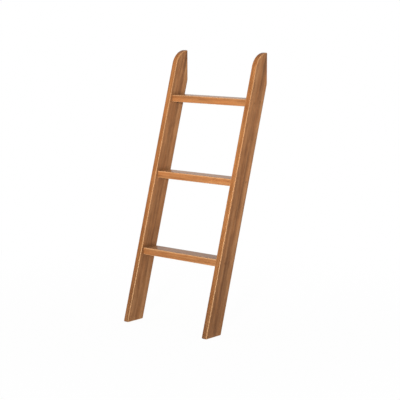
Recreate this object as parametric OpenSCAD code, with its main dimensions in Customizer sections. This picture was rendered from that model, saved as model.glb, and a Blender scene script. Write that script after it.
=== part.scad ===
// Wooden bunk bed ladder: two leaning stiles with three level treads between them.
// +X runs along the treads, +Y points towards the bed and +Z is up.
// The origin is on the floor, in the middle of the ladder's outline.

/* [Ladder] */
// Width over the outer faces of the stiles
ladder_width = 402; // [320:1:520]
// Height of the stile tops above the floor
ladder_height = 993; // [980:1:1010]
// Distance from the front of the feet to the rail faces
ladder_depth = 340.5; // [337:0.5:347]
// Lean of the stiles from the vertical, in degrees
lean = 16.3; // [15.8:0.1:16.6]

/* [Stiles] */
// Thickness of a stile
stile_thickness = 22; // [18:0.5:30]
// Width of a stile, square to its leaning edges
stile_width = 79.5; // [78.5:0.5:84]
// Radius of the eased long edges of every board
edge_radius = 3; // [1:0.5:5]

/* [Treads] */
// Height of the lower tread's top face above the floor
first_step = 270; // [200:1:280]
// Height from one tread's top face to the next
step_height = 279.3; // [240:0.1:282]
// Depth of a tread, front to back
tread_depth = 64.5; // [60:0.5:65.5]
// Thickness of a tread
tread_thickness = 26; // [22:0.5:29]
// Setback of a tread's front face from the stile's front edge, at the tread's top
tread_setback = 9.3; // [4:0.1:10.5]

/* [Tread joints] */
// Distance from a screw's axis to the nearer face, front or back, of its tread
screw_inset = 15; // [12:0.5:18]
// Diameter of a screw's shank and of its thread
screw_diameter = 4.5; // [3.5:0.5:6]
// Length of a screw, from its head's top face to its point
screw_length = 55; // [45:1:70]
// Diameter of a screw's head
head_diameter = 9; // [8:0.5:9.5]
// Diameter of a plug and of the counterbore that it fills
plug_diameter = 10; // [10:0.5:12]
// Length of a plug
plug_length = 7; // [5:0.5:9]
// Diameter of a dowel
dowel_diameter = 8; // [6:0.5:10]
// Length of a dowel
dowel_length = 40; // [32:1:60]

/* [Hidden] */

stile_colour = "#a87248";
tread_colour = "#c3844f";
plug_colour = "#9a683f";
dowel_colour = "#d9b98a";
steel_colour = "#b9bcc0";

LEFT = -1;
RIGHT = 1;
LOWER = 0;
MIDDLE = 1;
UPPER = 2;

round_fn = 96;  // facets of a round face in a preview
gap = 0.05;     // space between a fastener and the wall of its hole
overrun = 5;    // how far a cutter starts outside the face that it enters

// A stile's outline in the Y-Z plane. Along a leaning edge, Y grows by "run" for each unit of Z.
front_y = -ladder_depth / 2;
rail_y = ladder_depth / 2;
run = tan(lean);
foot_depth = stile_width / cos(lean);
rail_start_z = (ladder_depth - foot_depth) / run;
// The nose is one arc, tangent to the front edge and level where it meets the rail face.
nose_radius = (ladder_depth / run - ladder_height) / (1 / sin(lean) - 1);
nose_z = ladder_height - nose_radius;
tangent_y = rail_y - nose_radius * cos(lean);
tangent_z = nose_z + nose_radius * sin(lean);

tread_length = ladder_width - 2 * stile_thickness;
function tread_top(level) = first_step + level * step_height;
function tread_front(level) = front_y + tread_top(level) * run + tread_setback;
function tread_middle(level) = tread_front(level) + tread_depth / 2;
function screw_rows(level) = [
    tread_front(level) + screw_inset,
    tread_front(level) + tread_depth - screw_inset
];

// Fasteners. Depths are measured inwards from a stile's outer face.
plug_glue = 0.2;            // space between a plug and the screw head under it
head_top = plug_length + plug_glue;
head_rim = 0.8;             // straight rim of a screw head, above its taper
head_height = 3;
drive_width = 2.6;          // square recess in a screw head
drive_depth = 2;
point_length = 7;
dowel_in_stile = 12;
dowel_glue = 1;             // space past each end of a dowel
dowel_chamfer = 1;
dowel_start = stile_thickness - dowel_in_stile;

// Turns a Y-Z outline into a board with the given thickness along X, centred on x.
module board(x, thickness) {
    translate([x - thickness / 2, 0, 0])
        rotate([90, 0, 90])
            linear_extrude(height = thickness)
                children();
}

// A rectangle with round corners, from the origin to [width, height].
module rounded_rectangle(width, height, radius) {
    translate([radius, 0])
        square([width - 2 * radius, height]);
    translate([0, radius])
        square([width, height - 2 * radius]);
    for (x = [radius, width - radius], y = [radius, height - radius])
        translate([x, y])
            circle(r = radius, $fn = round_fn);
}

// Puts a fastener at a tread's end, with its +Z pointing inwards from the stile's outer face.
module at_joint(level, side, y) {
    translate([side * ladder_width / 2, y, tread_top(level) - tread_thickness / 2])
        rotate([0, -side * 90, 0])
            children();
}

module stile_outline() {
    polygon([
        [front_y, 0],
        [front_y + foot_depth, 0],
        [rail_y, rail_start_z],
        [rail_y, ladder_height],
        [tangent_y, tangent_z]
    ]);
    intersection() {
        translate([rail_y, nose_z])
            circle(r = nose_radius, $fn = round_fn);
        translate([tangent_y, tangent_z])
            square([rail_y - tangent_y, ladder_height - tangent_z]);
    }
}

// A straight bar with four round edges, along the stile's lean.
module leaning_bar(x) {
    length = ladder_height / cos(lean) + 2 * stile_width;
    translate([x - stile_thickness / 2, front_y, 0])
        rotate([-lean, 0, 0])
            translate([0, 0, -stile_width])
                linear_extrude(height = length)
                    rounded_rectangle(stile_thickness, stile_width, edge_radius);
}

module screw_hole() {
    radius = screw_diameter / 2 + gap;
    rotate_extrude($fn = round_fn)
        polygon([
            [0, -overrun],
            [plug_diameter / 2 + gap, -overrun],
            [plug_diameter / 2 + gap, head_top + head_rim],
            [head_diameter / 2 + gap, head_top + head_rim],
            [radius, head_top + head_height],
            [radius, head_top + screw_length - point_length],
            [0, head_top + screw_length + gap]
        ]);
}

module dowel_hole() {
    translate([0, 0, dowel_start - dowel_glue])
        cylinder(d = dowel_diameter + 2 * gap, h = dowel_length + 2 * dowel_glue, $fn = round_fn);
}

module joint_holes(level, side) {
    for (y = screw_rows(level))
        at_joint(level, side, y)
            screw_hole();
    at_joint(level, side, tread_middle(level))
        dowel_hole();
}

module stile(side) {
    x = side * (ladder_width - stile_thickness) / 2;
    color(stile_colour)
        difference() {
            intersection() {
                board(x, stile_thickness)
                    stile_outline();
                leaning_bar(x);
            }
            for (level = [LOWER, MIDDLE, UPPER])
                joint_holes(level, side);
        }
}

module tread(level) {
    color(tread_colour)
        difference() {
            board(0, tread_length)
                translate([tread_front(level), tread_top(level) - tread_thickness])
                    rounded_rectangle(tread_depth, tread_thickness, edge_radius);
            for (side = [LEFT, RIGHT])
                joint_holes(level, side);
        }
}

module screw() {
    translate([0, 0, head_top])
        difference() {
            rotate_extrude($fn = round_fn)
                polygon([
                    [0, 0],
                    [head_diameter / 2, 0],
                    [head_diameter / 2, head_rim],
                    [screw_diameter / 2, head_height],
                    [screw_diameter / 2, screw_length - point_length],
                    [0, screw_length]
                ]);
            translate([0, 0, drive_depth / 2])
                cube([drive_width, drive_width, drive_depth], center = true);
        }
}

module screws(level, side) {
    color(steel_colour)
        for (y = screw_rows(level))
            at_joint(level, side, y)
                screw();
}

module plugs(level, side) {
    color(plug_colour)
        for (y = screw_rows(level))
            at_joint(level, side, y)
                cylinder(d = plug_diameter, h = plug_length, $fn = round_fn);
}

module dowel(level, side) {
    radius = dowel_diameter / 2;
    color(dowel_colour)
        at_joint(level, side, tread_middle(level))
            translate([0, 0, dowel_start])
                rotate_extrude($fn = round_fn)
                    polygon([
                        [0, 0],
                        [radius - dowel_chamfer, 0],
                        [radius, dowel_chamfer],
                        [radius, dowel_length - dowel_chamfer],
                        [radius - dowel_chamfer, dowel_length],
                        [0, dowel_length]
                    ]);
}

stile(LEFT);  // left_stile
stile(RIGHT);  // right_stile
tread(LOWER);  // lower_tread
tread(MIDDLE);  // middle_tread
tread(UPPER);  // upper_tread
screws(LOWER, LEFT);  // lower_left_screws
screws(LOWER, RIGHT);  // lower_right_screws
screws(MIDDLE, LEFT);  // middle_left_screws
screws(MIDDLE, RIGHT);  // middle_right_screws
screws(UPPER, LEFT);  // upper_left_screws
screws(UPPER, RIGHT);  // upper_right_screws
plugs(LOWER, LEFT);  // lower_left_plugs
plugs(LOWER, RIGHT);  // lower_right_plugs
plugs(MIDDLE, LEFT);  // middle_left_plugs
plugs(MIDDLE, RIGHT);  // middle_right_plugs
plugs(UPPER, LEFT);  // upper_left_plugs
plugs(UPPER, RIGHT);  // upper_right_plugs
dowel(LOWER, LEFT);  // lower_left_dowel
dowel(LOWER, RIGHT);  // lower_right_dowel
dowel(MIDDLE, LEFT);  // middle_left_dowel
dowel(MIDDLE, RIGHT);  // middle_right_dowel
dowel(UPPER, LEFT);  // upper_left_dowel
dowel(UPPER, RIGHT);  // upper_right_dowel
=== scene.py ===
# Wooden bunk bed ladder: every board, plug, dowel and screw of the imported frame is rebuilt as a
# detailed mesh with a procedural material, in metres and on the frame's own axes.
import math

import bmesh
import bpy
import numpy as np
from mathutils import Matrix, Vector


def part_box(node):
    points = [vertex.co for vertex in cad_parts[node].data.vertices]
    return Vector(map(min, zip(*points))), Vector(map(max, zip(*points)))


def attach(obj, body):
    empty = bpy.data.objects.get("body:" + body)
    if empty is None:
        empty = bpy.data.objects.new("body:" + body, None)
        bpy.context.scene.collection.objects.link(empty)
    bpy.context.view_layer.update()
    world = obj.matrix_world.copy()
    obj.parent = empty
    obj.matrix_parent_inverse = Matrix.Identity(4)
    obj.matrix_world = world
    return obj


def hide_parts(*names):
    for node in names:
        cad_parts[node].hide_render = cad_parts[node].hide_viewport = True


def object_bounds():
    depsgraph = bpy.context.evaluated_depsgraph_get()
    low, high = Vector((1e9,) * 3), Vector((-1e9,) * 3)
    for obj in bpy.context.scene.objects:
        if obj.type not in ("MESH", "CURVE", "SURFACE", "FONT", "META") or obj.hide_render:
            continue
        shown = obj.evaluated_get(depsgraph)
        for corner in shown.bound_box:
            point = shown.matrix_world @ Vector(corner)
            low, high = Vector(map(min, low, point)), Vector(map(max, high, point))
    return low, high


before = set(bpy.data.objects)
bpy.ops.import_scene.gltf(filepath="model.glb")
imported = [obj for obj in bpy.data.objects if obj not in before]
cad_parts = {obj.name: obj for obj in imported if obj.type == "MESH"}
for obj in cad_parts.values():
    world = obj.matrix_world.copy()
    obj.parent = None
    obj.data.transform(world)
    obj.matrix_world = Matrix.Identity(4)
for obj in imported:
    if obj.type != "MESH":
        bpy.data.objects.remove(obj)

CAD_LOW, CAD_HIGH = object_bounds()
SIDES = {"left": -1, "right": 1}
LEVELS = ("lower", "middle", "upper")
MM = 0.001

# ---------------------------------------------------------------- sizes

ARRIS = 3.2 * MM            # radius of the eased long edges of a board
SUPPORT = 0.5 * MM          # flat rim kept round a board's faces, so that they shade flat
CORNER = ARRIS + 2 * SUPPORT    # radius of the corners of a stile's side outline
END_BEVEL = 0.3 * MM        # edge at a tread's ends
GAP = 0.05 * MM             # space between a fastener and the wall of its hole
CELL = 12 * MM              # length of a board's mesh cells along the grain
COLUMNS = 8                 # mesh cells across a board's face
SHANK = 2.25 * MM           # radius of a screw over its thread
HEAD_RIM = 0.8 * MM         # straight rim of a screw head, above its taper
HEAD_HEIGHT = 3 * MM        # from a screw head's top face to the end of its taper
POINT = 7 * MM              # length of a screw's point


def corners(node):
    """The corners of a CAD node's mesh, as rows of x, y, z."""
    return np.array([v.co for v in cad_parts[node].data.vertices])


def stile_sizes():
    """The sizes that set a stile's side outline, read from the left stile."""
    points = corners("left_stile")
    low, high = points.min(0), points.max(0)
    foot = points[points[:, 2] < low[2] + GAP]
    rail = points[points[:, 1] > high[1] - GAP]
    front_y, rail_y, height = low[1], high[1], high[2]
    foot_depth = np.ptp(foot[:, 1])
    rail_start = rail[:, 2].min()
    depth = rail_y - front_y
    run = (depth - foot_depth) / rail_start
    lean = math.atan(run)
    nose = (depth / run - height) / (1 / math.sin(lean) - 1)
    return {
        "front_y": front_y, "rail_y": rail_y, "height": height, "foot_depth": foot_depth,
        "rail_start": rail_start, "lean": lean, "nose": nose,
    }


STILE = stile_sizes()


def joint_sizes(level, side):
    """Where the fasteners at one tread's end lie, and their sizes, read from their CAD nodes."""
    prefix = f"{level}_{side}_"
    plug_low, plug_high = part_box(prefix + "plugs")
    screw_low, screw_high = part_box(prefix + "screws")
    dowel_low, dowel_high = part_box(prefix + "dowel")
    sign = SIDES[side]
    outer = max(abs(plug_low.x), abs(plug_high.x))
    plug = (plug_high.z - plug_low.z) / 2
    return {
        "outer": sign * outer,
        "inward": -sign,
        "z": (plug_low.z + plug_high.z) / 2,
        "rows": (plug_low.y + plug, plug_high.y - plug),
        "middle": (dowel_low.y + dowel_high.y) / 2,
        "plug": plug,
        "plug_length": plug_high.x - plug_low.x,
        "head": (screw_high.z - screw_low.z) / 2,
        "head_top": outer - max(abs(screw_low.x), abs(screw_high.x)),
        "screw_length": screw_high.x - screw_low.x,
        "dowel": (dowel_high.z - dowel_low.z) / 2,
        "dowel_start": outer - max(abs(dowel_low.x), abs(dowel_high.x)),
        "dowel_length": dowel_high.x - dowel_low.x,
    }


JOINTS = {(level, side): joint_sizes(level, side) for level in LEVELS for side in SIDES}

# ---------------------------------------------------------------- outlines


def arc(centre, radius, start, end, count):
    """count + 1 points on an arc, from angle start to angle end in degrees."""
    angles = np.radians(np.linspace(start, end, count + 1))
    return np.array(centre) + radius * np.stack([np.cos(angles), np.sin(angles)], 1)


def between(a, b, count):
    """count points evenly spaced strictly between a and b."""
    share = np.linspace(0, 1, count + 2)[1:-1, None]
    return a + (b - a) * share


def round_corner(point, one, other, radius):
    """Centre of the arc that rounds a corner, where one and other point along its two sides."""
    half = (one + other) / np.linalg.norm(one + other)
    sine = abs(one[0] * half[1] - one[1] * half[0])
    return point + half * radius / sine


def stile_outline(inset):
    """A stile's side outline in Y and Z, moved inwards by inset: front, top, back and foot."""
    lean, nose = STILE["lean"], STILE["nose"]
    tilt = math.degrees(lean)
    up = np.array([math.sin(lean), math.cos(lean)])
    along, plumb = np.array([1.0, 0.0]), np.array([0.0, 1.0])
    easing = 12 * MM
    crown_angle = 112
    toe_point = np.array([STILE["front_y"], 0.0])
    heel_point = toe_point + along * STILE["foot_depth"]
    bend_point = np.array([STILE["rail_y"], STILE["rail_start"]])
    hub = np.array([STILE["rail_y"], STILE["height"] - nose])
    toe = round_corner(toe_point, up, along, CORNER)
    heel = round_corner(heel_point, -along, up, CORNER)
    bend = round_corner(bend_point, -up, plumb, easing)
    tip = hub + [-CORNER, math.sqrt((nose - CORNER) ** 2 - CORNER ** 2)]
    tip_angle = 90 + math.degrees(math.asin(CORNER / (nose - CORNER)))

    toe_arc = arc(toe, CORNER - inset, 270, 180 - tilt, 5)
    nose_arc = arc(hub, nose - inset, 180 - tilt, crown_angle, 20)
    crown = arc(hub, nose - inset, crown_angle, tip_angle, COLUMNS)[1:-1]
    heel_arc = arc(heel, CORNER - inset, -90, -tilt, 5)
    bend_arc = arc(bend, easing - inset, -tilt, 0, 4)
    tip_arc = arc(tip, CORNER - inset, 0, tip_angle, 5)
    front_rows = round(np.linalg.norm(nose_arc[0] - toe_arc[-1]) / CELL)
    rail_rows = round(np.linalg.norm(tip_arc[0] - bend_arc[-1]) / CELL)
    front = np.concatenate([toe_arc, between(toe_arc[-1], nose_arc[0], front_rows), nose_arc])
    back_rows = len(front) - len(heel_arc) - len(bend_arc) - rail_rows - len(tip_arc)
    back = np.concatenate([
        heel_arc, between(heel_arc[-1], bend_arc[0], back_rows),
        bend_arc, between(bend_arc[-1], tip_arc[0], rail_rows), tip_arc,
    ])
    return front, crown, back, between(back[0], front[0], COLUMNS - 1)


def tread_outline(level):
    """A function that gives a tread's end outline in Y and Z, moved inwards by inset."""
    low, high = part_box(f"{level}_tread")
    y0, y1, z0, z1 = low.y + ARRIS, high.y - ARRIS, low.z + ARRIS, high.z - ARRIS

    def outline(inset):
        radius = ARRIS - inset
        under_front, over_front = arc((y0, z0), radius, 270, 180, 6), arc((y0, z1), radius, 180, 90, 6)
        under_back, over_back = arc((y1, z0), radius, -90, 0, 6), arc((y1, z1), radius, 0, 90, 6)
        front = np.concatenate([under_front, between(under_front[-1], over_front[0], 4), over_front])
        back = np.concatenate([under_back, between(under_back[-1], over_back[0], 4), over_back])
        top = between(front[-1], back[-1], COLUMNS - 1)
        return front, top, back, between(back[0], front[0], COLUMNS - 1)

    return outline


# ---------------------------------------------------------------- meshes


def new_mesh(name, points, faces):
    """A mesh object with its normals pointing outwards."""
    mesh = bpy.data.meshes.new(name)
    mesh.from_pydata([tuple(p) for p in points], [], faces)
    mesh.validate()
    bm = bmesh.new()
    bm.from_mesh(mesh)
    bmesh.ops.recalc_face_normals(bm, faces=bm.faces)
    bm.to_mesh(mesh)
    bm.free()
    piece = bpy.data.objects.new(name, mesh)
    bpy.context.scene.collection.objects.link(piece)
    return piece


def tube_faces(rings, count):
    """Quads between neighbouring closed rings of count points each."""
    return [
        (r * count + i, r * count + (i + 1) % count, (r + 1) * count + (i + 1) % count, (r + 1) * count + i)
        for r in range(rings - 1) for i in range(count)
    ]


def board_mesh(name, outline, sections):
    """A board: outline(inset) at each (x, inset) of sections, with rows of cells on both ends."""
    points, faces = [], []
    for x, inset in sections:
        front, top, back, foot = outline(inset)
        ring = np.concatenate([front, top, back[::-1], foot])
        points += [(x, y, z) for y, z in ring]
    count, rows = len(ring), len(front)
    faces += tube_faces(len(sections), count)
    for s in (0, len(sections) - 1):
        x, inset = sections[s]
        front, top, back, foot = outline(inset)
        ring = s * count
        back_at = ring + rows + len(top)
        grid = []
        for r in range(rows):
            if r == 0:
                inner = [ring + count - 1 - c for c in range(COLUMNS - 1)]
            elif r == rows - 1:
                inner = [ring + rows + c for c in range(COLUMNS - 1)]
            else:
                inner = list(range(len(points), len(points) + COLUMNS - 1))
                points += [(x, y, z) for y, z in between(front[r], back[r], COLUMNS - 1)]
            grid.append([ring + r, *inner, back_at + rows - 1 - r])
        for low, high in zip(grid, grid[1:]):
            faces += [(low[c], low[c + 1], high[c + 1], high[c]) for c in range(COLUMNS)]
    return new_mesh(name, points, faces)


def circle(radius, count):
    """count points round a circle."""
    angles = np.arange(count) * 2 * math.pi / count
    return radius * np.stack([np.cos(angles), np.sin(angles)], 1)


def loft(rings):
    """Points and faces of a closed solid through rings, a list of (depth, ring of y and z)."""
    count = len(rings[0][1])
    points = [(depth, y, z) for depth, ring in rings for y, z in ring]
    faces = tube_faces(len(rings), count)
    for depth, base in ((rings[0][0], 0), (rings[-1][0], (len(rings) - 1) * count)):
        hub = len(points)
        points.append((depth, 0.0, 0.0))
        faces += [(hub, base + i, base + (i + 1) % count) for i in range(count)]
    return np.array(points), faces


def placed(shape, joint, y):
    """A loft moved to a joint: its depth runs inwards from the stile's outer face."""
    points, faces = shape
    moved = np.stack([
        joint["outer"] + joint["inward"] * points[:, 0],
        y + points[:, 1],
        joint["z"] + points[:, 2],
    ], 1)
    return moved, faces


def joined(name, shapes):
    """One object that holds several separate solids."""
    points, faces = [], []
    for moved, own in shapes:
        start = len(points)
        points += [tuple(p) for p in moved]
        faces += [tuple(start + i for i in face) for face in own]
    return new_mesh(name, points, faces)


def smooth(piece, angle=32):
    """Smooth shading, with an edge kept sharp where its faces meet at more than angle degrees."""
    piece.data.shade_smooth()
    bm = bmesh.new()
    bm.from_mesh(piece.data)
    for edge in bm.edges:
        edge.smooth = len(edge.link_faces) == 2 and edge.calc_face_angle(0) < math.radians(angle)
    bm.to_mesh(piece.data)
    bm.free()


def baked_modifiers(piece):
    """Puts the piece's modifiers into its mesh."""
    graph = bpy.context.evaluated_depsgraph_get()
    mesh = bpy.data.meshes.new_from_object(piece.evaluated_get(graph), depsgraph=graph)
    piece.modifiers.clear()
    piece.data = mesh


# ---------------------------------------------------------------- fasteners


def plain_rings(steps, count=40):
    """Round rings for a loft, from (depth, radius) pairs."""
    return [(depth, circle(radius, count)) for depth, radius in steps]


def hole_shapes(joint):
    """The holes at one tread's end: two stepped screw holes and a blind dowel hole."""
    outside, glue = -2 * MM, 1 * MM
    seat = joint["head_top"]
    tip = seat + joint["screw_length"]
    screw_hole = loft(plain_rings([
        (outside, joint["plug"] + GAP),
        (seat + HEAD_RIM, joint["plug"] + GAP),
        (seat + HEAD_RIM + GAP, joint["head"] + GAP),
        (seat + HEAD_HEIGHT, SHANK + GAP),
        (tip - POINT, SHANK + GAP),
        (tip + GAP, GAP),
    ]))
    dowel_hole = loft(plain_rings([
        (joint["dowel_start"] - glue, joint["dowel"] + GAP),
        (joint["dowel_start"] + joint["dowel_length"] + glue, joint["dowel"] + GAP),
    ]))
    rows = [placed(screw_hole, joint, y) for y in joint["rows"]]
    return rows + [placed(dowel_hole, joint, joint["middle"])]


def drill(piece, joints):
    """Cuts the fastener holes of several joints out of a board."""
    cutter = joined("cutter", [hole for joint in joints for hole in hole_shapes(joint)])
    cut = piece.modifiers.new("holes", "BOOLEAN")
    cut.operation, cut.solver, cut.object = "DIFFERENCE", "EXACT", cutter
    baked_modifiers(piece)
    bpy.data.objects.remove(cutter)


def square_ring(half, count):
    """A square ring whose points line up with a circle's."""
    ring = circle(1, count)
    return half * ring / np.abs(ring).max(1)[:, None]


def screw_shape(joint):
    """A countersunk wood screw with a square drive, a plain shank and a helical thread."""
    count, turn_rings, pitch = 24, 6, 2.2 * MM
    top, length = joint["head_top"], joint["screw_length"]
    head, root, plain = joint["head"], 0.72 * SHANK, 0.9 * SHANK
    drive, drive_depth = 1.3 * MM, 2 * MM
    thread_start = 16 * MM
    rings = [
        (top + drive_depth, square_ring(drive * 0.9, count)),
        (top + 0.2 * MM, square_ring(drive, count)),
        (top, square_ring(drive * 1.12, count)),
        (top, circle(head - 0.4 * MM, count)),
        (top + 0.15 * MM, circle(head - 0.1 * MM, count)),
        (top + 0.35 * MM, circle(head, count)),
        (top + HEAD_RIM, circle(head, count)),
        (top + HEAD_HEIGHT, circle(plain, count)),
        (top + thread_start - pitch, circle(plain, count)),
    ]
    angles = np.arange(count) / count
    steps = math.ceil((length - thread_start) / pitch * turn_rings)
    for depth in np.linspace(thread_start, length, steps):
        phase = (depth / pitch - angles) % 1
        ridge = np.clip(1 - 2.6 * np.abs(phase - 0.5), 0, 1)
        taper = min(1, (length - depth) / POINT)
        start = min(1, (depth - thread_start) / pitch)
        radius = max(taper, 0.02) * (root + (SHANK - root) * ridge * start)
        rings.append((top + depth, circle(1, count) * radius[:, None]))
    return loft(rings)


def dowel_shape(joint):
    """A chamfered dowel with straight flutes, which let glue out of its hole."""
    count, flutes = 64, 16
    radius, start, length = joint["dowel"], joint["dowel_start"], joint["dowel_length"]
    wave = 0.5 - 0.5 * np.cos(np.arange(count) * 2 * math.pi * flutes / count)
    fluted = circle(1, count) * (radius - 0.35 * MM * wave ** 3)[:, None]
    chamfer = 1 * MM
    small, full = circle(radius - chamfer, count), circle(radius - 0.1 * MM, count)
    depths = np.linspace(start + 1.8 * chamfer, start + length - 1.8 * chamfer, 12)
    rings = [(start, small), (start + chamfer, full)]
    rings += [(depth, fluted) for depth in depths]
    rings += [(start + length - chamfer, full), (start + length, small)]
    return loft(rings)


def plug_shape(joint):
    """A flush plug: a cylinder with a fine edge at its face and a lead-in at its inner end."""
    radius, length = joint["plug"], joint["plug_length"]
    fine, lead = 0.12 * MM, 0.6 * MM
    return loft(plain_rings([
        (0, radius * 0.5), (0, radius - fine), (fine, radius), (length - lead, radius),
        (length, radius - lead), (length, radius * 0.5),
    ], 48))


# ---------------------------------------------------------------- grain


def lay_grain(piece, along, across, origin, log_place, runout=0.0):
    """
    Stores each corner's place in its log: along the grain, and across it in two directions from
    the pith. The point origin of the board is at log_place, and the grain runs out of the board
    by runout for each metre.
    """
    along, across = np.array(along, float), np.array(across, float)
    third = np.cross(along, across)
    mesh = piece.data
    places = np.empty(len(mesh.vertices) * 3)
    mesh.vertices.foreach_get("co", places)
    places = places.reshape(-1, 3) - np.array(origin)
    length = places @ along
    log = np.stack([length, places @ across, places @ third - runout * length], 1) + log_place
    grain = mesh.attributes.new("grain", "FLOAT_VECTOR", "POINT")
    grain.data.foreach_set("vector", log.astype(np.float32).ravel())


# ---------------------------------------------------------------- materials


class Nodes:
    """A material's node tree, with short calls that add one node and return its output."""

    def __init__(self, name):
        self.material = bpy.data.materials.new(name)
        self.material.use_nodes = True
        self.tree = self.material.node_tree
        self.tree.nodes.clear()

    def add(self, kind, inputs, output=0, **settings):
        node = self.tree.nodes.new(kind)
        for key, value in settings.items():
            setattr(node, key, value)
        for key, value in inputs.items():
            if isinstance(value, bpy.types.NodeSocket):
                self.tree.links.new(value, node.inputs[key])
            else:
                node.inputs[key].default_value = value
        return node.outputs[output] if node.outputs else None

    def attribute(self, name, output):
        return self.add("ShaderNodeAttribute", {}, output, attribute_name=name)

    def here(self):
        """The shaded point, in metres on the frame's axes."""
        return self.add("ShaderNodeTexCoord", {}, "Object")

    def part(self, vector, axis):
        return self.add("ShaderNodeSeparateXYZ", {0: vector}, axis)

    def maths(self, operation, a, b=0.0):
        return self.add("ShaderNodeMath", {0: a, 1: b}, operation=operation)

    def vector(self, operation, a, b, output=0):
        return self.add("ShaderNodeVectorMath", {0: a, 1: b}, output, operation=operation)

    def square(self, value):
        return self.maths("MULTIPLY", value, value)

    def spread(self, value, low, high, to_low=0.0, to_high=1.0):
        """value, from low to high, turned into to_low to to_high."""
        inputs = {0: value, 1: low, 2: high, 3: to_low, 4: to_high}
        return self.add("ShaderNodeMapRange", inputs)

    def noise(self, place, scale, detail=2.0, roughness=0.5, output=0):
        """Noise whose grain along X, Y and Z is set by scale, in cells per metre."""
        inputs = {
            "Vector": self.vector("MULTIPLY", place, scale),
            "Scale": 1.0, "Detail": detail, "Roughness": roughness,
        }
        return self.add("ShaderNodeTexNoise", inputs, output)

    def ramp(self, value, stops, interpolation="LINEAR"):
        """A colour ramp through (place, colour) stops."""
        node = self.tree.nodes.new("ShaderNodeValToRGB")
        node.color_ramp.interpolation = interpolation
        elements = node.color_ramp.elements
        while len(elements) < len(stops):
            elements.new(0.5)
        for element, (place, colour) in zip(elements, stops):
            element.position = place
            element.color = (*colour, 1)
        self.tree.links.new(value, node.inputs[0])
        return node.outputs[0]

    def mix(self, factor, a, b, blend="MIX"):
        inputs = {0: factor, 6: a, 7: b}
        return self.add("ShaderNodeMix", inputs, 2, data_type="RGBA", blend_type=blend)

    def finish(self, inputs):
        """Ends the tree in a Principled surface with these inputs."""
        surface = self.add("ShaderNodeBsdfPrincipled", inputs)
        self.add("ShaderNodeOutputMaterial", {"Surface": surface})
        return self.material


def grey(value):
    """A colour with the same value in all three channels."""
    return (value, value, value)


# ---------------------------------------------------------------- wood

# A tone is 0 in the darkest wood, 0.5 in the middle and 1 in the palest.
LOG = 0.2                   # radius of the log that the boards were sawn from
BUTT_END = -2.0             # where the log's butt end is along the grain: the left stile's foot
BUTT = 0.32                 # length of the paler wood at the butt end
BUTT_TONE = 0.30            # added to the tone at the butt end itself
LATE_WOOD = 0.12            # taken off the tone in the dark part of a growth ring
WANDER = (0, 0.008, 0.005)  # how far the rings wander, across the grain
WOOD_IOR = 1.16             # low, because the photo shows weak reflections
# Noises that add to the tone: cells per metre along the log's axes, detail, roughness, and what
# the noise adds to the tone at 0 and at 1.
TONE_NOISES = {
    "cloud": ((2.5, 14, 14), 2, 0.5, -0.28, 0.24),
    "streak": ((2.6, 110, 110), 3, 0.55, -0.62, 0.62),
    "figure": ((18, 70, 70), 2, 0.5, -0.4, 0.4),
}
# Colours that multiply the wood's own.
REDDISH = (1.04, 0.90, 0.78, 1)     # reddish streaks
EDGE_TINT = (1.0, 0.87, 0.68, 1)    # the edges of a board
END_TINT = (0.6, 0.55, 0.5, 1)      # end grain
# The last colour paints shade into the corners over the treads.
CORNER_SHADE = (0.45, 0.40, 0.34, 1)        # the corners over the treads

RUBBED_AND_HIGHLIGHT = (1.5, 1.62, 1.7)   # colour of an arris rubbed pale with a painted highlight, as shares of the palest wood
# Two heights above the floor, and how strong the wear with its painted highlight, or the tint, is at each.
WEAR_HIGHLIGHT_HEIGHTS, WEAR_HIGHLIGHT = (0.15, 0.45), (0.85, 0.38)     # of the arrises
TINT_HEIGHTS, TINT = (0.04, 0.24), (0.3, 1.0)       # of the boards' edges
FIBRE_TONE = 0.3            # the most that fibre adds to the tone or takes off it

FIRST_STEP, SECOND_STEP = (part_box(f"{level}_tread")[1].z for level in ("lower", "middle"))
STEP = SECOND_STEP - FIRST_STEP
CLEAR_WIDTH = 2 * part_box("lower_tread")[1].x
# Painted shade in the corners where each tread's top meets a stile.
SHADE_REACH = 26 * MM        # how far the painted shade reaches from the corners, along a tread
SHADE_FADE = 1.6             # how much faster it fades up the stile
SHADE_START, SHADE_FULL = 6 * MM, 12 * MM     # distances behind a stile's front edge
SHADE_STRENGTH = 0.52


def step_corners(n):
    """
    1 where a tread's top meets the inner face of a stile, for the painted shade in these corners. It
    falls to 0 over the shade's reach along the tread, and over less than that up the stile.
    """
    place = n.here()
    x, y, z = (n.part(place, axis) for axis in "XYZ")
    aside = n.maths("SUBTRACT", n.maths("ABSOLUTE", x), CLEAR_WIDTH / 2)
    steps = n.maths("DIVIDE", n.maths("SUBTRACT", z, FIRST_STEP - 2 * GAP), STEP)
    above = n.maths("MULTIPLY", n.maths("FRACT", steps), STEP * SHADE_FADE)
    offset = n.add("ShaderNodeCombineXYZ", {0: aside, 1: above})
    near = n.spread(n.vector("LENGTH", offset, (0, 0, 0), "Value"), 0.0, SHADE_REACH, 1.0, 0.0)
    behind = n.maths("SUBTRACT", y, n.maths("MULTIPLY", z, math.tan(STILE["lean"])))
    inset = n.maths("SUBTRACT", behind, STILE["front_y"])
    behind_front = n.spread(inset, SHADE_START, SHADE_FULL)
    on_a_step = n.maths("GREATER_THAN", z, FIRST_STEP / 2)
    return n.maths("MULTIPLY", near, n.maths("MULTIPLY", behind_front, on_a_step))


def face_masks(n, along, face):
    """Masks for a board's quartered faces, its end grain and its arrises: 1 there, 0 elsewhere."""
    normal = n.add("ShaderNodeNewGeometry", {}, "Normal")
    end_grain = n.square(n.vector("DOT_PRODUCT", normal, along, "Value"))
    quartered = n.square(n.vector("DOT_PRODUCT", normal, face, "Value"))
    slanting = n.maths("MULTIPLY", quartered, n.maths("SUBTRACT", 1.0, quartered))
    return quartered, end_grain, n.spread(slanting, 0.02, 0.12)


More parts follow.
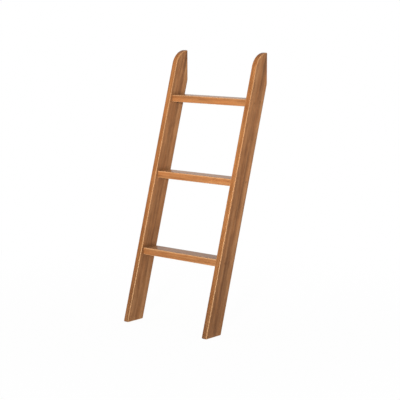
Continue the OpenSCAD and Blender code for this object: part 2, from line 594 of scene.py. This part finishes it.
def growth(n, place, zones, ring_width):
    """The wood's tone at each distance from the pith, and how dark its growth rings are."""
    shift = n.vector("SUBTRACT", n.noise(place, (1.4, 8, 8), 2, 0.5, "Color"), (0.5, 0.5, 0.5))
    wandered = n.vector("ADD", place, n.vector("MULTIPLY", shift, WANDER))
    across = n.vector("MULTIPLY", wandered, (0, 1, 1))
    depth = n.vector("LENGTH", across, (0, 0, 0), "Value")
    uneven = {"W": depth, "Scale": 90.0, "Detail": 1.0}
    drift = n.add("ShaderNodeTexNoise", uneven, noise_dimensions="1D")
    rings = n.maths("ADD", n.maths("DIVIDE", depth, ring_width), n.maths("MULTIPLY", drift, 1.6))
    one_ring = [(0, grey(0)), (0.45, grey(0.1)), (0.85, grey(1)), (1, grey(0))]
    late = n.ramp(n.maths("FRACT", rings), one_ring, "EASE")
    stops = [(at / LOG, grey(tone)) for at, tone in zones]
    return n.ramp(n.maths("DIVIDE", depth, LOG), stops, "EASE"), late


def timber_tone(n, place, zone, late, fibre):
    """The tone with all that changes it: patches, streaks, figure, fibre, rings and the butt."""
    tone = zone
    for scale, detail, roughness, low, high in TONE_NOISES.values():
        noise = n.noise(place, scale, detail, roughness)
        tone = n.maths("ADD", tone, n.spread(noise, 0, 1, low, high))
    tone = n.maths("ADD", tone, n.spread(fibre, 0, 1, -FIBRE_TONE, FIBRE_TONE))
    tone = n.maths("SUBTRACT", tone, n.maths("MULTIPLY", late, LATE_WOOD))
    paler = n.spread(n.part(place, "X"), BUTT_END, BUTT_END + BUTT, BUTT_TONE, 0.0)
    return n.maths("ADD", tone, paler)


def wear_highlight_and_shade(n, place, arris, colour, light):
    """The colour with its arrises rubbed pale and given a painted highlight, most near the floor, and
    painted shade in the corners over the treads.
    """
    patchiness = n.spread(n.noise(place, (5, 30, 30), 2), 0.3, 0.7, 0.9, 1.1)
    # The pale arris line is partly wear and partly a painted highlight, made strongest near the floor,
    # where the lamp's own highlight on the arrises is weakest.
    by_height = n.spread(n.part(n.here(), "Z"), *WEAR_HIGHLIGHT_HEIGHTS, *WEAR_HIGHLIGHT)
    rubbed_and_highlight = n.maths("MULTIPLY", arris, n.maths("MULTIPLY", patchiness, by_height))
    pale = [share * part for share, part in zip(RUBBED_AND_HIGHLIGHT, light)]
    colour = n.mix(rubbed_and_highlight, colour, (*pale, 1))
    # Painted shade in the corners over the treads.
    return n.mix(n.maths("MULTIPLY", step_corners(n), SHADE_STRENGTH), colour, CORNER_SHADE, "MULTIPLY")


def wood(name, along, face, tones, zones, ring_width, roughness):
    """
    Timber cut from a log. along is the direction of the grain, and face that of the quartered
    faces. tones are the colours at tones 0, 0.5 and 1, and zones are (distance from the pith,
    tone) pairs.
    """
    n = Nodes(name)
    dark, middle, light = tones
    place = n.attribute("grain", "Vector")
    quartered, end_grain, arris = face_masks(n, along, face)
    zone, late = growth(n, place, zones, ring_width)
    fibre = n.noise(place, (14, 800, 800), 3, 0.6)
    pores = n.spread(n.noise(place, (60, 1700, 1700), 1), 0.6, 0.7)

    tone = timber_tone(n, place, zone, late, fibre)
    colour = n.ramp(tone, [(0.0, dark), (0.5, middle), (1.0, light)])
    reddish = n.spread(n.noise(place, (8, 130, 130), 2), 0.35, 0.65, 0.0, 0.7)
    colour = n.mix(reddish, colour, REDDISH, "MULTIPLY")
    colour = n.mix(n.maths("MULTIPLY", pores, 0.3), colour, (*dark, 1), "MULTIPLY")
    tinted = n.spread(n.part(n.here(), "Z"), *TINT_HEIGHTS, *TINT)
    edges = n.maths("MULTIPLY", n.maths("SUBTRACT", 1.0, quartered), tinted)
    colour = n.mix(edges, colour, EDGE_TINT, "MULTIPLY")
    colour = n.mix(end_grain, colour, END_TINT, "MULTIPLY")
    # Rubbed arrises with a painted highlight, and painted shade in the corners over the treads.
    colour = wear_highlight_and_shade(n, place, arris, colour, light)

    height = n.maths("ADD", n.maths("MULTIPLY", fibre, 0.5), n.maths("MULTIPLY", late, 0.25))
    height = n.maths("SUBTRACT", height, n.maths("MULTIPLY", pores, 0.6))
    bump = n.add("ShaderNodeBump", {"Strength": 0.18, "Distance": 0.1 * MM, "Height": height})
    gloss = n.spread(fibre, 0.2, 0.8, roughness - 0.06, roughness + 0.06)
    gloss = n.maths("ADD", gloss, n.maths("MULTIPLY", pores, 0.12))
    return n.finish({
        "Base Color": colour, "Roughness": gloss, "Normal": bump,
        "IOR": WOOD_IOR, "Specular Tint": (1.0, 0.9, 0.75, 1),
    })


# ---------------------------------------------------------------- steel


def steel():
    """Zinc-plated steel with a fine drawn texture."""
    n = Nodes("zinc_plated_steel")
    dull = n.noise(n.here(), (900, 250, 250), 3)
    colour = n.ramp(dull, [(0.3, (0.42, 0.43, 0.44)), (0.7, (0.66, 0.66, 0.64))])
    bump = n.add("ShaderNodeBump", {"Strength": 0.2, "Distance": 0.05 * MM, "Height": dull})
    gloss = n.spread(dull, 0.3, 0.7, 0.26, 0.42)
    return n.finish({"Base Color": colour, "Metallic": 1.0, "Roughness": gloss, "Normal": bump})


# ---------------------------------------------------------------- pieces

UP_THE_STILE = (0, math.sin(STILE["lean"]), math.cos(STILE["lean"]))
SIDEWAYS = (1, 0, 0)
BACKWARDS = (0, 1, 0)
UPWARDS = (0, 0, 1)

STILE_PITH = 0.051          # distance from the pith of the log to a stile's front edge
STILE_RUNOUT = 0.005        # how far the grain runs out of a stile, for each metre
STILE_WIDTH = STILE["foot_depth"] * math.cos(STILE["lean"])
LEFT_ASIDE, RIGHT_ASIDE = 0.004, -0.006     # from the pith to the middle of a stile's thickness
# Where each board's own origin lies in its log.
STILE_PLACES = {
    "left": (BUTT_END, LEFT_ASIDE, STILE_PITH),
    "right": (3.7, RIGHT_ASIDE, STILE_PITH),
}
TREAD_PLACES = {"lower": (11.0, 0.05, 0.06), "middle": (17.3, 0.05, 0.07), "upper": (23.9, 0.05, 0.05)}
FASTENER_START, FASTENER_STEP = 40.0, 1.7   # places of the plugs and dowels along their log

RING_WIDTH, BEECH_RING_WIDTH = 4 * MM, 3 * MM
VARNISHED, RAW = 0.28, 0.7                  # roughness
STILE_TONES = ((0.119, 0.052, 0.022), (0.218, 0.100, 0.041), (0.303, 0.156, 0.069))
TREAD_TONES = ((0.172, 0.078, 0.034), (0.262, 0.127, 0.057), (0.344, 0.179, 0.084))
BEECH_TONES = ((0.42, 0.26, 0.13), (0.60, 0.41, 0.23), (0.70, 0.50, 0.30))
# Tone of a stile's wood against distance from its front edge, as a share of its width.
STILE_BANDS = (
    (0.0, 0.52), (0.08, 0.54), (0.22, 0.51), (0.40, 0.41), (0.52, 0.33), (0.60, 0.33), (0.67, 0.60),
    (0.76, 0.65), (1.0, 0.56),
)
STILE_ZONES = [(STILE_PITH + share * STILE_WIDTH, tone) for share, tone in STILE_BANDS]
# Tone of each tread's wood against distance from the pith of its log.
TREAD_ZONES = {
    "lower": ((0.050, 0.76), (0.060, 0.68), (0.067, 0.76), (0.0735, 1.0), (0.079, 0.60), (0.09, 0.46)),
    "middle": ((0.060, 0.54), (0.074, 0.50), (0.079, 0.56), (0.083, 0.88), (0.089, 0.76)),
    "upper": ((0.043, 0.58), (0.051, 0.58), (0.059, 0.20), (0.0635, 0.45), (0.070, 0.88)),
}
PLUG_TONE = -0.07           # added to the tone of the stile round a plug
PLUG_ZONES = [(at, tone + PLUG_TONE) for at, tone in STILE_ZONES]
EVEN_ZONES = ((0.0, 0.5), (LOG, 0.5))


def show(piece, material, nodes):
    """Gives a finished piece its material, and puts it in place of its CAD nodes."""
    piece.data.materials.clear()
    piece.data.materials.append(material)
    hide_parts(*nodes)
    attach(piece, "root")


def stile_sections(low_x, high_x):
    """(x, inset) pairs across a stile: round arrises on both faces, and a flat edge between."""
    angles = np.radians(np.linspace(0, 90, 7))
    easing = [(ARRIS * (1 - math.cos(a)), ARRIS * (1 - math.sin(a))) for a in angles]
    near = [(0, ARRIS + SUPPORT), *easing]
    middle = [(x, 0) for x in np.linspace(ARRIS, high_x - low_x - ARRIS, 5)[1:-1]]
    far = [(high_x - low_x - x, inset) for x, inset in reversed(near)]
    return [(low_x + x, inset) for x, inset in near + middle + far]


def tread_sections(low_x, high_x):
    """(x, inset) pairs along a tread, with a fine bevel at each end."""
    cells = round((high_x - low_x) / CELL)
    inner = [(x, 0) for x in np.linspace(low_x + END_BEVEL, high_x - END_BEVEL, cells)]
    return [(low_x, END_BEVEL), *inner, (high_x, END_BEVEL)]


def build_stiles(material):
    """Both stiles, cut and drilled, with the grain running up them."""
    for side, log_place in STILE_PLACES.items():
        low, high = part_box(f"{side}_stile")
        piece = board_mesh(f"{side}_stile_board", stile_outline, stile_sections(low.x, high.x))
        drill(piece, [JOINTS[level, side] for level in LEVELS])
        smooth(piece)
        toe = ((low.x + high.x) / 2, STILE["front_y"], 0)
        lay_grain(piece, UP_THE_STILE, SIDEWAYS, toe, log_place, STILE_RUNOUT)
        show(piece, material, [f"{side}_stile"])


def build_treads():
    """The three treads, each from its own part of a log."""
    for level, log_place in TREAD_PLACES.items():
        low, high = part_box(f"{level}_tread")
        piece = board_mesh(f"{level}_tread_board", tread_outline(level), tread_sections(low.x, high.x))
        drill(piece, [JOINTS[level, side] for side in SIDES])
        smooth(piece)
        lay_grain(piece, SIDEWAYS, BACKWARDS, (low + high) / 2, log_place)
        name, zones = f"{level}_tread_varnished_wood", TREAD_ZONES[level]
        material = wood(name, SIDEWAYS, UPWARDS, TREAD_TONES, zones, RING_WIDTH, VARNISHED)
        show(piece, material, [f"{level}_tread"])


def build_plugs(prefix, joint, material, log_start):
    """The plugs at one tread's end. Their grain runs up the stile, and their tone follows its bands."""
    plugs = joined(prefix + "wood_plugs", [placed(plug_shape(joint), joint, y) for y in joint["rows"]])
    smooth(plugs)
    toe = (joint["outer"], STILE["front_y"], 0)
    lay_grain(plugs, UP_THE_STILE, SIDEWAYS, toe, (log_start, LEFT_ASIDE, STILE_PITH), STILE_RUNOUT)
    show(plugs, material, [prefix + "plugs"])


def build_dowel(prefix, joint, material, log_start):
    """The dowel at one tread's end."""
    dowel = joined(prefix + "fluted_dowel", [placed(dowel_shape(joint), joint, joint["middle"])])
    smooth(dowel)
    place = (joint["outer"], joint["middle"], joint["z"])
    lay_grain(dowel, SIDEWAYS, BACKWARDS, place, (log_start, 0.03, 0.03))
    show(dowel, material, [prefix + "dowel"])


def build_screws(prefix, joint, material):
    """The two screws at one tread's end."""
    shapes = [placed(screw_shape(joint), joint, y) for y in joint["rows"]]
    screws = joined(prefix + "wood_screws", shapes)
    smooth(screws, angle=40)
    show(screws, material, [prefix + "screws"])


def build_fasteners(plug_wood, dowel_wood, metal):
    """The plugs, dowel and screws at both ends of every tread."""
    log_start = FASTENER_START
    for (level, side), joint in JOINTS.items():
        prefix = f"{level}_{side}_"
        log_start += FASTENER_STEP
        build_plugs(prefix, joint, plug_wood, log_start)
        build_dowel(prefix, joint, dowel_wood, log_start)
        build_screws(prefix, joint, metal)


build_stiles(
    wood("stile_varnished_wood", UP_THE_STILE, SIDEWAYS, STILE_TONES, STILE_ZONES, RING_WIDTH, VARNISHED)
)
build_treads()
build_fasteners(
    wood("plug_varnished_wood", UP_THE_STILE, SIDEWAYS, STILE_TONES, PLUG_ZONES, RING_WIDTH, VARNISHED),
    wood("raw_beech", SIDEWAYS, UPWARDS, BEECH_TONES, EVEN_ZONES, BEECH_RING_WIDTH, RAW),
    steel(),
)

# ---------------------------------------------------------------- studio

CENTRE = (CAD_LOW + CAD_HIGH) / 2
CEILING = 0.6               # brightness straight overhead, as a share of the walls'
WALL_TOP = 0.05             # sine of the elevation where the walls start to dim
FLOOR_GLOW = 0.96           # share of plain white in the floor under the ladder


def away(azimuth, elevation, distance):
    """A point at a distance from the ladder's centre. Azimuth 0 is in front, and 90 is to +X."""
    a, e = math.radians(azimuth), math.radians(elevation)
    return CENTRE + distance * Vector((math.sin(a) * math.cos(e), -math.cos(a) * math.cos(e), math.sin(e)))


def build_floor():
    """A pale floor that turns into the white background away from the ladder."""
    radii, count = (0.5, 1, 2, 4, 8, 20, 60), 48
    points = [(0, 0, 0)] + [(*p, 0) for r in radii for p in circle(r, count)]
    faces = [(0, 1 + i, 1 + (i + 1) % count) for i in range(count)]
    faces += [tuple(1 + v for v in face) for face in tube_faces(len(radii), count)]
    floor = new_mesh("studio_floor", points, faces)
    n = Nodes("pale_floor")
    fade_start, fade_end = 0.3, 1.6
    distance = n.vector("LENGTH", n.here(), (0, 0, 0), "Value")
    inputs = {0: distance, 1: fade_start, 2: fade_end, 3: FLOOR_GLOW}
    fade = n.add("ShaderNodeMapRange", inputs, interpolation_type="SMOOTHSTEP")
    paint = n.add("ShaderNodeBsdfDiffuse", {"Color": (0.9, 0.9, 0.9, 1)})
    glow = n.add("ShaderNodeEmission", {"Color": (1, 1, 1, 1), "Strength": 1.0})
    surface = n.add("ShaderNodeMixShader", {0: fade, 1: paint, 2: glow})
    n.add("ShaderNodeOutputMaterial", {"Surface": surface})
    floor.data.materials.append(n.material)


def build_world():
    """White walls all round, which dim towards the ceiling."""
    world = bpy.data.worlds.new("studio")
    world.use_nodes = True
    tree = world.node_tree
    direction = tree.nodes.new("ShaderNodeTexCoord")
    split = tree.nodes.new("ShaderNodeSeparateXYZ")
    dimming = tree.nodes.new("ShaderNodeMapRange")
    dimming.inputs["From Min"].default_value = WALL_TOP
    dimming.inputs["To Min"].default_value = 1.0
    dimming.inputs["To Max"].default_value = CEILING
    tree.links.new(direction.outputs["Generated"], split.inputs[0])
    tree.links.new(split.outputs["Z"], dimming.inputs["Value"])
    tree.links.new(dimming.outputs[0], tree.nodes["Background"].inputs["Strength"])
    tree.nodes["Background"].inputs["Color"].default_value = (1, 1, 1, 1)
    bpy.context.scene.world = world


def add_softbox(name, azimuth, elevation, distance, size, watts, spread, aim):
    """A round lamp behind a grid, which narrows its beam to spread degrees, aimed at height aim."""
    lamp = bpy.data.lights.new(name, "AREA")
    lamp.shape, lamp.size, lamp.energy, lamp.spread = "DISK", size, watts, math.radians(spread)
    softbox = bpy.data.objects.new(name, lamp)
    bpy.context.scene.collection.objects.link(softbox)
    softbox.location = away(azimuth, elevation, distance)
    target = Vector((CENTRE.x, CENTRE.y, aim))
    softbox.rotation_euler = (target - softbox.location).to_track_quat("-Z", "Y").to_euler()


def add_camera():
    """The photo's viewpoint, with the camera turned down a little and level from side to side."""
    turned, down = 40.61, 8.78
    sensor_width, focal_length = 36, 115.03     # in millimetres
    lens = bpy.data.cameras.new("camera")
    lens.sensor_width, lens.lens = sensor_width, focal_length
    camera = bpy.data.objects.new("camera", lens)
    bpy.context.scene.collection.objects.link(camera)
    camera.location = away(azimuth=40.87, elevation=8.30, distance=4.668)
    camera.rotation_euler = (math.radians(90 - down), 0, math.radians(turned))
    bpy.context.scene.camera = camera


build_floor()
build_world()
add_softbox("key", azimuth=30, elevation=14, distance=6.0, size=1.0, watts=7.7, spread=18, aim=0.75)
add_camera()
bpy.context.scene.view_settings.view_transform = "Standard"
